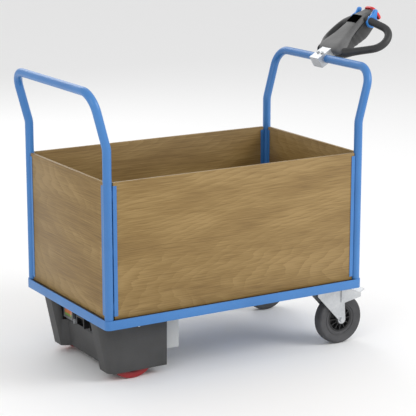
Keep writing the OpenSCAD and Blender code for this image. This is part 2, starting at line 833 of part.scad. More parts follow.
module lower_blank(d) {
    hull() {
        slice(parting_w - 0.1 + (d > 0 ? 1 : 0), 0, head_l, 57, 34, d);
        slice(-44, 0, 26, base_half, 47, d);
        cross_bar(12, -57, base_half - 24, 12, d);
        cross_bar(130, -head_depth + 22, 28, 22, d);
        slice(-70, 80, head_l, 34, 34, d);
    }
}

module head_upper_shell() {
    color([0.35, 0.35, 0.35]) at_head() difference() {
        upper_blank(0);
        upper_blank(head_wall);
        display_block(0.2);
    }
}

module head_lower_shell() {
    color([0.2, 0.2, 0.2]) at_head() difference() {
        lower_blank(0);
        lower_blank(head_wall);
        translate([head_l - 20, 0, button_w]) rotate([0, 90, 0]) cylinder(r = stem_r + run_clear, h = 40);
    }
}

module display_block(gap) {
    translate([126 - gap, -29 - gap, crown_w - 2.5 - gap]) cube([40 + 2 * gap, 58 + 2 * gap, 3.3 + gap]);
}

module head_display() color("black") at_head() display_block(0);

// Frame of one loop handle: u along the head, s outwards and drooping
module in_loop() translate([paddle_u, -loop_v, paddle_w]) rotate([0, -loop_pitch, 0])
    rotate([180 + droop, 0, 0]) translate([-paddle_u, 0, 0]) children();

loop_dir = (loop_root - loop_corner) / norm(loop_root - loop_corner);

// Loop handle: a boss for the paddle, out to a round corner, and back to a foot on the casing's base
module handle() {
    turn = acos(loop_dir[1]);
    back = loop_r * tan(turn / 2);
    r = grip_d / 2;
    color([0.22, 0.22, 0.22]) difference() {
        union() {
            translate([paddle_u, -loop_v - 3, paddle_w]) rotate([-90, 0, 0]) cylinder(r = boss_r, h = loop_v - 30);
            in_loop() {
                translate([loop_corner[0], -8, 0]) rotate([-90, 0, 0])
                    cylinder(r = r, h = loop_corner[1] - back + 8 + lap);
                translate([loop_corner[0] - loop_r, loop_corner[1] - back, 0]) rotate_extrude(angle = turn)
                    translate([loop_r, 0]) circle(r + bend_swell);
                translate([loop_root[0], loop_root[1], 0]) rotate([0, 0, atan2(-loop_dir[1], -loop_dir[0])])
                    rotate([0, 90, 0]) cylinder(r = r, h = norm(loop_corner - loop_root) - back + lap);
                translate([0, 0, -foot_t / 2]) linear_extrude(foot_t) polygon(foot);
            }
        }
        lower_blank(0);
        upper_blank(0);
    }
}

module handle_near() at_head() handle();
module handle_far() mirror([0, 1, 0]) at_head() handle();

// Thumb paddle that turns on the handle's boss, with a wing towards the tip and a tail behind
module paddle() {
    color("dodgerblue") translate([paddle_u, -paddle_in, paddle_w]) rotate([90, 0, 0]) linear_extrude(paddle_t)
        difference() {
            union() {
                circle(25);
                rotate(28) polygon([[0, -20], [42, -8], [42, 8], [0, 20]]);
                rotate(28) translate([42, 0]) circle(9);
            }
            circle(boss_r + run_clear);
        }
}

module paddle_near() at_head() paddle();
module paddle_far() mirror([0, 1, 0]) at_head() paddle();

// Reversing button across the head's tip, on a stem that runs in the casing's end wall
module belly_button() {
    color("red") at_head() {
        intersection() {
            translate([button_u, 0, button_w]) rotate([90, 0, 0]) cylinder(r = button_r, h = 2 * tip_half - 2, center = true);
            translate([button_back, -50, button_w - button_half]) cube([40, 100, 2 * button_half]);
        }
        translate([head_l - 16, 0, button_w]) rotate([0, 90, 0]) cylinder(r = stem_r, h = button_back - head_l + 17);
    }
}

placed() frame_rail_front();
placed() frame_rail_rear();
placed() frame_rail_left();
placed() frame_rail_right();
placed() deck_board();
placed() deck_bearers();
placed() hoop_drive_end();
placed() hoop_handle_end();
placed() channels_front();
placed() channels_rear();
placed() channels_left();
placed() channels_right();
placed() panel_front();
placed() panel_rear();
placed() panel_left();
placed() panel_right();
placed() caster_plates();
placed() frame_bolts();
placed() seal_rings();
placed() kingpins();
placed() caster_fork_near();
placed() caster_fork_far();
placed() brake_pedal_near();
placed() brake_pedal_far();
placed() wheel_axle_near();
placed() wheel_axle_far();
placed() caster_rim_near();
placed() caster_rim_far();
placed() caster_tyre_near();
placed() caster_tyre_far();
placed() drive_carrier();
placed() gear_motors();
placed() drive_axles();
placed() drive_hub_near();
placed() drive_hub_far();
placed() drive_tyre_near();
placed() drive_tyre_far();
placed() drive_cover();
placed() cover_screws();
placed() control_plate();
placed() status_bezel();
placed() status_screen();
placed() charge_socket();
placed() key_barrel();
placed() key_switch();
placed() battery_box();
placed() battery_lid();
placed() battery_pack();
placed() head_bracket();
placed() bracket_cap();
placed() bracket_screws();
placed() head_lower_shell();
placed() head_upper_shell();
placed() head_display();
placed() handle_near();
placed() handle_far();
placed() paddle_near();
placed() paddle_far();
placed() belly_button();
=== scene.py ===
import json
import math
import bmesh
import bpy
from mathutils import Matrix, Vector


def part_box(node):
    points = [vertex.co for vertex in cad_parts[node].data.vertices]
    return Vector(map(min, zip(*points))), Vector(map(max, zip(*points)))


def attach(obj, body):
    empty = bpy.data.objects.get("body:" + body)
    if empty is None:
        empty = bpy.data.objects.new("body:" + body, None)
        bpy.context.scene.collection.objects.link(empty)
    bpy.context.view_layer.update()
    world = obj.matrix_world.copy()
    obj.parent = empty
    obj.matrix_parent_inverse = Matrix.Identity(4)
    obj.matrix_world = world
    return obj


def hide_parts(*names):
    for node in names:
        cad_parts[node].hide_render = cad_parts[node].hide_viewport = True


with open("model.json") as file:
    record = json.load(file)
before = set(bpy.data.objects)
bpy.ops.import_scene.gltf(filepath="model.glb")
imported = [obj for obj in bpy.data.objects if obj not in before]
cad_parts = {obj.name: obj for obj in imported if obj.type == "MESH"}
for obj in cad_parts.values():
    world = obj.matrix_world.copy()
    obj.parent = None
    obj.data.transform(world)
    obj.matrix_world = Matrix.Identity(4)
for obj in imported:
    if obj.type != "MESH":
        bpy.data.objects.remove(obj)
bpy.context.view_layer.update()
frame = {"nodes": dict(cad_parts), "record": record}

bpy.context.scene.view_settings.view_transform = "Standard"

# ---- Studio ----
# A pale seamless floor in a white room, lit by a large soft box in front on the right, a weaker one on
# the left and one behind. The camera stands low off the drive end's near corner, with a long lens.
CAMERA_AZIMUTH = math.radians(-30.736)
CAMERA_HEIGHT = math.radians(13.336)
CAMERA_DISTANCE = 6.2496
CAMERA_LENS = 139.47
CAMERA_SENSOR = 36
LOOK_AT = Vector((-0.0617, 0, 0.5424))
ROOM_STRENGTH = 0.82
FLOOR_RADIUS = 30
# Name, place, width in metres and power in watts.
SOFT_BOXES = (
    ("key_light", (3.4, -3.6, 3.6), 2.6, 130),
    ("fill_light", (-4.2, -2.4, 2.6), 2.4, 34),
    ("back_light", (0.5, 4.5, 3.8), 3.0, 60),
)

room = bpy.data.worlds.new("studio_room")
bpy.context.scene.world = room
room.use_nodes = True
room_light = room.node_tree.nodes["Background"]
room_light.inputs["Color"].default_value = (1, 1, 1, 1)
room_light.inputs["Strength"].default_value = ROOM_STRENGTH

bpy.ops.object.select_all(action="DESELECT")
bpy.ops.mesh.primitive_circle_add(vertices=96, radius=FLOOR_RADIUS, fill_type="NGON")
floor = bpy.context.object
floor.name = "floor"
# Floor: uncoated white background paper, which shows soft shadows and no gloss.
paper = bpy.data.materials.new("matt_white_paper")
paper.use_nodes = True
paper_shader = paper.node_tree.nodes["Principled BSDF"]
paper_shader.inputs["Base Color"].default_value = (0.93, 0.93, 0.93, 1)
paper_shader.inputs["Roughness"].default_value = 0.9
floor.data.materials.append(paper)

for name, place, size, power in SOFT_BOXES:
    bpy.ops.object.light_add(type="AREA", location=place)
    light = bpy.context.object
    light.name = name
    light.data.size = size
    light.data.energy = power
    light.rotation_mode = "QUATERNION"
    light.rotation_quaternion = (Vector(place) - LOOK_AT).to_track_quat("Z", "Y")

# The way from the object back to the camera.
back = Vector((
    math.sin(CAMERA_AZIMUTH) * math.cos(CAMERA_HEIGHT),
    -math.cos(CAMERA_AZIMUTH) * math.cos(CAMERA_HEIGHT),
    math.sin(CAMERA_HEIGHT),
))
bpy.ops.object.camera_add(location=LOOK_AT + back * CAMERA_DISTANCE)
camera = bpy.context.object
camera.name = "camera"
camera.data.lens = CAMERA_LENS
camera.data.sensor_width = CAMERA_SENSOR
camera.data.clip_end = 100
camera.rotation_mode = "QUATERNION"
camera.rotation_quaternion = (-back).to_track_quat("-Z", "Y")
bpy.context.scene.camera = camera


# ---- Frame, hoops and wall channels ----
# Rails, bearers, bent tube hoops and the channels that hold the walls: mild steel, welded, then powder
# coated in blue. The coat has a fine orange peel and a satin gloss.
def linear(hex_colour):
    """An sRGB hex colour as linear RGBA."""
    parts = [int(hex_colour[i:i + 2], 16) / 255 for i in (1, 3, 5)]
    return [p / 12.92 if p <= 0.04045 else ((p + 0.055) / 1.055) ** 2.4 for p in parts] + [1]


def add(tree, kind, sockets=None, links=None, stops=None, **settings):
    """Adds a node with its settings, socket values, links and, on a colour ramp, its stops."""
    made = tree.nodes.new("ShaderNode" + kind)
    for key, value in settings.items():
        setattr(made, key, value)
    for key, value in (sockets or {}).items():
        made.inputs[key].default_value = value
    for key, source in (links or {}).items():
        tree.links.new(source, made.inputs[key])
    for i, (place, colour) in enumerate(stops or ()):
        ramp = made.color_ramp.elements
        stop = ramp[i] if i < len(ramp) else ramp.new(place)
        stop.position = place
        stop.color = linear(colour)
    return made


def surface(name, **sockets):
    """A new material, its node tree and its shader, with the fixed values set on the shader's sockets."""
    made = bpy.data.materials.new(name)
    made.use_nodes = True
    shader = made.node_tree.nodes["Principled BSDF"]
    for key, value in sockets.items():
        shader.inputs[key.replace("_", " ")].default_value = value
    return made, made.node_tree, shader


def mottled(name, dark, light, grain_mm, patch_mm, relief_mm, rough, **sockets):
    """A surface whose colour drifts in soft patches and whose grain stands up as fine bumps."""
    made, tree, shader = surface(name, **sockets)
    place = add(tree, "TexCoord").outputs["Object"]
    patches = add(tree, "TexNoise", {"Scale": 1000 / patch_mm, "Detail": 3}, {"Vector": place})
    grain = add(tree, "TexNoise", {"Scale": 1000 / grain_mm, "Detail": 2}, {"Vector": place})
    blend = add(tree, "Math", {1: 0.3}, {0: grain.outputs["Fac"], 2: patches.outputs["Fac"]},
                operation="MULTIPLY_ADD")
    colour = add(tree, "ValToRGB", links={"Fac": blend.outputs[0]}, stops=[(0.45, dark), (0.85, light)])
    gloss = add(tree, "MapRange", {"To Min": rough[0], "To Max": rough[1]},
                {"Value": patches.outputs["Fac"]})
    bump = add(tree, "Bump", {"Strength": 0.5, "Distance": relief_mm / 1000},
               {"Height": grain.outputs["Fac"]})
    tree.links.new(colour.outputs["Color"], shader.inputs["Base Color"])
    tree.links.new(gloss.outputs["Result"], shader.inputs["Roughness"])
    tree.links.new(bump.outputs["Normal"], shader.inputs["Normal"])
    return made


def coat(material, *nodes):
    """Gives CAD nodes a material."""
    for name in nodes:
        mesh = frame["nodes"][name].data
        mesh.materials.clear()
        mesh.materials.append(material)


BODY_OF = {
    node: body
    for body, nodes in frame["record"]["behaviour"]["bodies"].items()
    for node in nodes
}
WELD = 1e-6              # vertices nearer than this are one, in metres
FLAT_DEGREES = 0.5       # facets that turn less than this are one face
CREASE_DEGREES = 40      # an edge that turns more than this is rounded
SMOOTH_DEGREES = 35      # and one that turns less than this is shaded smooth


def eased(width_mm, *nodes):
    """Stands a copy for each CAD node, with its facets merged and its sharp edges rounded."""
    for name in nodes:
        source = frame["nodes"][name]
        piece = bpy.data.objects.new(name + "_eased", source.data.copy())
        bpy.context.collection.objects.link(piece)
        bpy.ops.object.select_all(action="DESELECT")
        bpy.context.view_layer.objects.active = piece
        piece.select_set(True)
        bpy.ops.object.mode_set(mode="EDIT")
        bpy.ops.mesh.select_all(action="SELECT")
        bpy.ops.mesh.remove_doubles(threshold=WELD)
        bpy.ops.mesh.dissolve_limited(angle_limit=math.radians(FLAT_DEGREES))
        bpy.ops.object.mode_set(mode="OBJECT")
        bevel = piece.modifiers.new("round_edges", "BEVEL")
        bevel.width = width_mm / 1000
        bevel.segments = 2
        bevel.limit_method = "ANGLE"
        bevel.angle_limit = math.radians(CREASE_DEGREES)
        bpy.ops.object.modifier_apply(modifier="round_edges")
        bpy.ops.object.shade_smooth_by_angle(angle=math.radians(SMOOTH_DEGREES))
        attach(piece, BODY_OF[name])
        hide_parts(name)


# Powder coat: dielectric film of polyester, IOR 1.5, satin, with an orange peel about 1.5 mm across,
# drawn at 4 mm so that it shows.
blue_coat = mottled("satin_blue_powder_coat", "#3872B2", "#427EBE", 4, 240, 0.08, (0.3, 0.38), IOR=1.5)
coat(blue_coat, "frame_rail_front", "frame_rail_rear", "frame_rail_left", "frame_rail_right",
     "deck_bearers", "hoop_drive_end", "hoop_handle_end", "channels_front", "channels_rear",
     "channels_left", "channels_right")

eased(2, "frame_rail_front", "frame_rail_rear", "frame_rail_left", "frame_rail_right")

# ---- Deck board ----
# Birch plywood with a dark brown phenolic film pressed on both faces, lying on the frame's shelf flush
# with its top. The film is nearly smooth, with the faint mesh of the press cloth. Its dark brown is partly
# the film's own colour and partly painted shade for the narrow slot between the frame and the walls.
deck_film_and_slot_shade = mottled("brown_film_and_slot_shade", "#241E19", "#342C25", 3, 160, 0.1, (0.42, 0.55), IOR=1.55)
coat(deck_film_and_slot_shade, "deck_board")

# ---- Swivel casters ----
# Pressed and zinc-plated forks, plates and brake pedals on riveted kingpins, with a red dust seal, a
# ribbed nylon rim and a solid grey rubber tyre.
# Zinc plate: bright metal with a soft spangle in its gloss, 8 mm across.
zinc = mottled("bright_zinc_plate", "#B2B5B8", "#CDCFD1", 8, 60, 0.03, (0.3, 0.44), Metallic=0.7)
coat(zinc, "caster_plates", "frame_bolts", "kingpins", "caster_fork_near", "caster_fork_far",
     "brake_pedal_near", "brake_pedal_far", "wheel_axle_near", "wheel_axle_far")
# Seal: moulded nitrile rubber, red, softly matt.
red_seal = mottled("red_nitrile_seal", "#B5252A", "#CC3338", 2, 40, 0.05, (0.45, 0.55), IOR=1.52)
coat(red_seal, "seal_rings")
# Rim: black glass-filled nylon, moulded, half matt.
black_nylon = mottled("black_glass_filled_nylon", "#141415", "#232325", 2, 50, 0.06, (0.38, 0.5), IOR=1.53)
coat(black_nylon, "caster_rim_near", "caster_rim_far")
# Tyre: pressed elastic rubber, grey, matt, with dust in its pores.
grey_rubber = mottled("grey_elastic_rubber", "#39393B", "#4E4E50", 3, 70, 0.15, (0.62, 0.78), IOR=1.5)

# One side of the tyre's section, from the rim to the tread's middle: radius, and half width, in mm. A
# raised ring runs round the side wall.
TYRE_SIDE = (
    (52, 13), (54, 16), (58, 17.4), (62, 17.8), (62.8, 20.2), (65.6, 20.4), (66.6, 18.4), (76, 19.6),
    (86, 22), (91, 22.6), (95, 21.2), (97.6, 17.4), (99.2, 11.5), (100, 4),
)
# One side of the rim's section, from the bore outwards: a hub, a thin web and a bead that the tyre grips.
RIM_SIDE = (
    (6.3, 25), (20, 25), (22, 23), (23, 4.5), (27, 2.5), (43, 2.5), (45, 12), (47, 15), (52, 14.5), (52, 6),
)
LATHE_WELD = 1e-5    # closes the seam of a spin, in metres
RIB_COUNT = 12
RIB_SIZE = (0.003, 0.026, 0.03)    # thickness, width across the wheel, and length outwards
RIB_MIDDLE = 0.034                 # from the wheel's axis to the middle of a rib
RIB_FOOT_WIDER = 1.5
TYRE_STEPS, RIM_STEPS = 96, 64


def both_sides(side):
    """A closed section from one side's points."""
    return side + tuple((radius, -across) for radius, across in reversed(side))


def lathe(name, section, centre, steps):
    """Spins a closed section of (radius, half width) points round a cross axis through centre."""
    bpy.ops.object.select_all(action="DESELECT")
    bpy.ops.mesh.primitive_circle_add(vertices=len(section), fill_type="NOTHING", radius=0.01)
    piece = bpy.context.object
    piece.name = name
    bpy.ops.object.mode_set(mode="EDIT")
    for i, (radius, across) in enumerate(section):
        points = bmesh.from_edit_mesh(piece.data).verts
        points.ensure_lookup_table()
        for point in points:
            point.select = point.index == i
        step = Vector((0, across / 1000, radius / 1000)) - points[i].co
        bpy.ops.transform.translate(value=step)
    bpy.ops.mesh.select_all(action="SELECT")
    bpy.ops.mesh.spin(steps=steps, angle=math.tau, center=(0, 0, 0), axis=(0, 1, 0))
    bpy.ops.mesh.select_all(action="SELECT")
    bpy.ops.mesh.remove_doubles(threshold=LATHE_WELD)
    bpy.ops.mesh.normals_make_consistent(inside=False)
    bpy.ops.transform.translate(value=centre)
    bpy.ops.object.mode_set(mode="OBJECT")
    bpy.ops.object.shade_smooth_by_angle(angle=math.radians(50))
    return piece


def middle(node):
    """The centre of a CAD node's box."""
    low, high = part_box(node)
    return (low + high) / 2


def ribs(name, centre):
    """Thin radial plates between the hub and the bead, tapered outwards, as one piece."""
    bpy.ops.object.select_all(action="DESELECT")
    bpy.ops.mesh.primitive_cube_add(size=1, scale=RIB_SIZE, location=(0, 0, RIB_MIDDLE))
    piece = bpy.context.object
    piece.name = name
    bpy.ops.object.transform_apply(location=True, rotation=True, scale=True)
    bpy.ops.object.mode_set(mode="EDIT")
    mesh = bmesh.from_edit_mesh(piece.data)
    for face in mesh.faces:
        face.select = face.normal.z < -0.5
    bpy.ops.transform.resize(value=(1, RIB_FOOT_WIDER, 1), center_override=(0, 0, 0.02))
    bpy.ops.mesh.select_all(action="SELECT")
    bpy.ops.mesh.spin(steps=RIB_COUNT, dupli=True, angle=math.tau, center=(0, 0, 0), axis=(0, 1, 0))
    bpy.ops.mesh.select_all(action="SELECT")
    bpy.ops.mesh.remove_doubles(threshold=LATHE_WELD)
    bpy.ops.transform.translate(value=centre)
    bpy.ops.object.mode_set(mode="OBJECT")
    return piece


for side in ("near", "far"):
    hub_at = middle("caster_tyre_" + side)
    tyre = lathe("rubber_tyre_" + side, both_sides(TYRE_SIDE), hub_at, TYRE_STEPS)
    rim = lathe("nylon_rim_" + side, both_sides(RIM_SIDE), hub_at, RIM_STEPS)
    rim_ribs = ribs("rim_ribs_" + side, hub_at)
    for piece, material, node in (
        (tyre, grey_rubber, "caster_tyre_"),
        (rim, black_nylon, "caster_rim_"),
        (rim_ribs, black_nylon, "caster_rim_"),
    ):
        piece.data.materials.append(material)
        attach(piece, BODY_OF[node + side])
        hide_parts(node + side)

# ---- Lift-out walls ----
# Chipboard faced with an oak-grained melamine film, edged all round with a paler strip of the same oak.
# The grain runs along each wall, with cathedral figures where the ring pattern is cut through.
OAK_RING_MM = 14
OAK_FIBRE_MM = (120, 2.6)    # length and width of a streak, drawn about twice as coarse as real fibre
OAK_THROUGH = 220                  # how fast the fibre changes through the board, per metre
OAK_DRIFT = (2.2, 3, 9)            # how fast the tone drifts along, through and up the board, per metre
OAK_PITH = (0, 0.09, -0.36)        # shifts the rings' centre off the board, in metres
OAK_LEAN = (0.0, 0.03, 0.2)        # how far the trunk leans to the board, in radians
OAK_SHOVE = 0.07                   # how far the drift pushes the rings about, in metres
WAVE_MM = 314                      # a wave texture of scale 1 repeats every 314 mm


def oak(name, turn, seed):
    """Oak-grained film: satin melamine. turn lays the grain along X at 0, or along Y at a quarter turn."""
    made, tree, shader = surface(name, IOR=1.5)
    place = add(tree, "TexCoord").outputs["Object"]
    along = add(tree, "Mapping", {"Rotation": (0, 0, turn), "Location": (seed, 0, seed * 0.3)},
                {"Vector": place}, vector_type="TEXTURE").outputs[0]
    slow = add(tree, "Mapping", {"Scale": OAK_DRIFT}, {"Vector": along})
    drift = add(tree, "TexNoise", {"Scale": 1.0, "Detail": 3}, {"Vector": slow.outputs[0]})
    lean = add(tree, "Mapping", {"Location": OAK_PITH, "Rotation": OAK_LEAN}, {"Vector": along})
    shove = add(tree, "VectorMath", {3: OAK_SHOVE}, {0: drift.outputs["Color"]}, operation="SCALE")
    trunk = add(tree, "VectorMath", links={0: lean.outputs[0], 1: shove.outputs[0]}, operation="ADD")
    rings = add(tree, "TexWave", {"Scale": WAVE_MM / OAK_RING_MM, "Distortion": 1.6, "Detail": 3},
                {"Vector": trunk.outputs[0]},
                wave_type="RINGS", rings_direction="X", wave_profile="SAW")
    fibre_size = (1000 / OAK_FIBRE_MM[0], OAK_THROUGH, 1000 / OAK_FIBRE_MM[1])
    fine = add(tree, "Mapping", {"Scale": fibre_size}, {"Vector": along})
    fibre = add(tree, "TexNoise", {"Scale": 1.0, "Detail": 4, "Roughness": 0.55},
                {"Vector": fine.outputs[0]})
    figure = add(tree, "MapRange", {"From Min": 0.42, "From Max": 0.62, "To Min": 0.0, "To Max": 0.26},
                 {"Value": drift.outputs["Fac"]})
    ringed = add(tree, "Math", links={
        0: rings.outputs["Fac"], 1: figure.outputs["Result"], 2: fibre.outputs["Fac"]},
        operation="MULTIPLY_ADD")
    toned = add(tree, "Math", {1: 0.5}, {0: drift.outputs["Fac"], 2: ringed.outputs[0]},
                operation="MULTIPLY_ADD")
    colour = add(tree, "ValToRGB", links={"Fac": toned.outputs[0]},
                 stops=[(0.55, "#74592C"), (0.74, "#866A39"), (0.86, "#8E7342"), (1.0, "#997D4C")])
    bump = add(tree, "Bump", {"Strength": 0.25, "Distance": 0.00015}, {"Height": fibre.outputs["Fac"]})
    gloss = add(tree, "MapRange", {"To Min": 0.42, "To Max": 0.56}, {"Value": fibre.outputs["Fac"]})
    tree.links.new(colour.outputs["Color"], shader.inputs["Base Color"])
    tree.links.new(gloss.outputs["Result"], shader.inputs["Roughness"])
    tree.links.new(bump.outputs["Normal"], shader.inputs["Normal"])
    return made


coat(oak("oak_film_front", 0, 0.0), "panel_front")
coat(oak("oak_film_rear", 0, 1.7), "panel_rear")
coat(oak("oak_film_left", math.pi / 2, 3.1), "panel_left")
coat(oak("oak_film_right", math.pi / 2, 4.6), "panel_right")

eased(0.8, "panel_front", "panel_rear", "panel_left", "panel_right")

# ---- Drive unit ----
# A moulded hood over two geared hub wheels with red tyres, a recessed control panel in its end, and a
# painted steel battery box behind it.
# Hood: ABS, moulded in a leather-like grain about 2 mm across, matt dark grey.
grained_abs = mottled("dark_grained_abs", "#363636", "#444444", 3, 120, 0.12, (0.5, 0.62), IOR=1.53)
coat(grained_abs, "drive_cover")
# Drive tyres: cast polyurethane, deep red, satin.
red_pu = mottled("red_cast_polyurethane", "#86141A", "#9A1C22", 3, 60, 0.05, (0.3, 0.42), IOR=1.5)
coat(red_pu, "drive_tyre_near", "drive_tyre_far")
# Hubs: die-cast aluminium, sprayed the same red as the tyre and a little duller.
red_spray = mottled("sprayed_red_casting", "#74141A", "#861B20", 2, 40, 0.08, (0.45, 0.58), IOR=1.5)
coat(red_spray, "drive_hub_near", "drive_hub_far")
# Carrier and motors: black chassis enamel.
black_enamel = mottled("black_chassis_enamel", "#2B2D2F", "#393B3E", 4, 90, 0.06, (0.35, 0.48), IOR=1.5)
coat(black_enamel, "drive_carrier", "gear_motors")
# Axles, screws and key: the casters' zinc plate again.
coat(zinc, "drive_axles", "cover_screws", "key_barrel", "key_switch")
# Control plate, charge socket and battery pack: black ABS, finely grained.
black_abs = mottled("black_fine_abs", "#0D0D0E", "#18181A", 2, 60, 0.06, (0.4, 0.52), IOR=1.53)
coat(black_abs, "control_plate", "charge_socket", "battery_pack")
# Window frame: mid grey ABS, smoother than the hood.
grey_abs = mottled("grey_moulded_abs", "#5C5C5C", "#6C6C6C", 2, 40, 0.05, (0.4, 0.5), IOR=1.53)
coat(grey_abs, "status_bezel")
# Battery box: light grey polyester enamel on sheet steel.
grey_enamel = mottled("light_grey_enamel", "#BCBEBE", "#CBCDCD", 4, 150, 0.05, (0.32, 0.42), IOR=1.5)
coat(grey_enamel, "battery_box", "battery_lid")
eased(3, "battery_box", "battery_lid")
eased(1.5, "drive_cover")


def trim(name, centre, size, material, round_mm, taper=1.0):
    """A small moulding: a box whose foot is drawn in by taper and whose edges are rounded."""
    bpy.ops.object.select_all(action="DESELECT")
    bpy.ops.mesh.primitive_cube_add(size=1, scale=size, location=centre)
    piece = bpy.context.object
    piece.name = name
    bpy.ops.object.transform_apply(location=True, rotation=True, scale=True)
    bpy.ops.object.mode_set(mode="EDIT")
    for face in bmesh.from_edit_mesh(piece.data).faces:
        face.select = face.normal.z < -0.5
    bpy.ops.transform.resize(value=(taper, taper, 1))
    bpy.ops.mesh.select_all(action="SELECT")
    bpy.ops.mesh.bevel(offset=round_mm / 1000, segments=3, affect="EDGES")
    bpy.ops.object.mode_set(mode="OBJECT")
    bpy.ops.object.shade_smooth_by_angle(angle=math.radians(SMOOTH_DEGREES))
    piece.data.materials.append(material)
    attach(piece, "platform")


hood_low, hood_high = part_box("drive_cover")
plate_low, plate_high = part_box("control_plate")
plate_z = (plate_low.z + plate_high.z) / 2
plate_h = plate_high.z - plate_low.z
PLASTIC_SHEET = 0.003    # thickness of the black shade sheet and the returns
PLASTIC_ROUND_MM = 0.5
SHADE_SHEET_BEHIND = 0.002    # from the plate's back to the middle of the black sheet that stands for shade
SHADE_SHEET_WIDER = 0.022
# A black sheet behind the control plate closes the gap between it and the hood; its black is painted shade
# in that gap.
trim("control_gap_shade_sheet", (plate_high.x + SHADE_SHEET_BEHIND, 0, plate_z),
     (PLASTIC_SHEET, plate_high.y - plate_low.y + SHADE_SHEET_WIDER, plate_h), black_abs, PLASTIC_ROUND_MM)
RETURN_BESIDE = 0.0115   # from the plate's end to the middle of a return
RETURN_BEHIND = 0.003    # from the plate's front to the middle of a return
RETURN_LENGTH = 0.033
# A return past each end of the plate closes off the view into the hood.
for edge_y in (plate_low.y - RETURN_BESIDE, plate_high.y + RETURN_BESIDE):
    trim("window_return_%d" % (edge_y * 1000), (plate_low.x + RETURN_BEHIND, edge_y, plate_z),
         (RETURN_LENGTH, PLASTIC_SHEET, plate_h), black_abs, PLASTIC_ROUND_MM)
NOTCH_FACE = 0.0015      # from the hood's near face to a notch's middle
NOTCH_DEPTH = 0.005
NOTCH_ROUND_MM = 0.6
NOTCH_TAPER = 0.8
CORNER_IN = 0.016        # from the hood's inner end to the corner notch's middle
SLOT_X = -0.5569         # the slot's place, ahead of the drive axle
# Two dark notches open the hood's near top edge: one at its inner corner, and a low slot further out.
# Each is drawn as a black box on the hood's face, not cut into it: its black is partly a black part inside
# and partly painted shade in the opening.
for notch_x, notch_w, notch_h in ((hood_high.x - CORNER_IN, 0.034, 0.026), (SLOT_X, 0.02, 0.01)):
    trim("hood_notch_%d" % (notch_x * -1000), (notch_x, hood_low.y + NOTCH_FACE, hood_high.z - notch_h / 2),
         (notch_w, NOTCH_DEPTH, notch_h), black_abs, NOTCH_ROUND_MM, NOTCH_TAPER)
# Status window: a lit display behind clear acrylic, glossy, orange with a green field at its foot.
LIT_CELL_MM = 9    # the blocks that the display's segments blur into
lit, lit_tree, lit_shader = surface("lit_status_window", Roughness=0.12, IOR=1.49)
window_low, window_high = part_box("status_screen")
lit_place = add(lit_tree, "TexCoord").outputs["Object"]
lit_height = add(lit_tree, "SeparateXYZ", links={"Vector": lit_place}).outputs["Z"]
lit_share = add(lit_tree, "MapRange", {"From Min": window_low.z, "From Max": window_high.z},
                {"Value": lit_height})
lit_cells = add(lit_tree, "TexVoronoi", {"Scale": 1000 / LIT_CELL_MM}, {"Vector": lit_place},
                distance="CHEBYCHEV")
lit_blend = add(lit_tree, "Math", {1: 0.12}, {0: lit_cells.outputs["Distance"], 2: lit_share.outputs[0]},
                operation="MULTIPLY_ADD")
lit_colour = add(lit_tree, "ValToRGB", links={"Fac": lit_blend.outputs[0]}, stops=[
    (0.0, "#8A6B5A"), (0.24, "#5F9A4A"), (0.38, "#C07A52"), (0.95, "#E08A5C")])
lit_tree.links.new(lit_colour.outputs["Color"], lit_shader.inputs["Base Color"])
coat(lit, "status_screen")

# ---- Control head ----
# The tiller head on the handle-end hoop: two moulded casings screwed together, two loop handles, thumb
# paddles, a display and a red reversing button, held by a galvanised bracket.
# Casings: ABS, moulded in a leather-like grain, matt; mid grey above and charcoal below.
head_abs = mottled("grey_grained_abs", "#4E4E4E", "#6A6A6A", 4, 60, 0.15, (0.5, 0.62), IOR=1.53)
dark_abs = mottled("charcoal_abs", "#2B2B2B", "#3B3B3B", 3, 70, 0.12, (0.45, 0.58), IOR=1.53)
# Loops: soft black thermoplastic rubber with a faint sheen.
grip_rubber = mottled("black_grip_rubber", "#202021", "#2E2E2F", 2, 60, 0.12, (0.46, 0.6), IOR=1.52)
# Paddles and button: glossy ABS.
blue_abs = mottled("blue_glossy_abs", "#2878C8", "#3788D8", 2, 50, 0.04, (0.25, 0.34), IOR=1.53)
coat(blue_abs, "paddle_near", "paddle_far")
red_abs = mottled("red_glossy_abs", "#D0181C", "#E02428", 2, 50, 0.04, (0.28, 0.36), IOR=1.53)
# Display cover: smoked acrylic over a dark panel, nearly black and glossy.
smoked_acrylic = mottled("smoked_acrylic", "#030303", "#060607", 6, 40, 0.01, (0.3, 0.36), IOR=1.49,
                         Specular_IOR_Level=0.0)
coat(smoked_acrylic, "head_display")
# Bracket, its end cap and screws: the casters' zinc plate again.
coat(zinc, "head_bracket", "bracket_cap", "bracket_screws")

HEAD_TILT = math.radians(40)
DISPLAY_AT = Vector((0.146, 0, 0.01015))   # the display's middle on the head's own axes
head_turn = Matrix.Rotation(-HEAD_TILT, 4, "Y")
head_frame = Matrix.Translation(middle("head_display") - head_turn @ DISPLAY_AT) @ head_turn


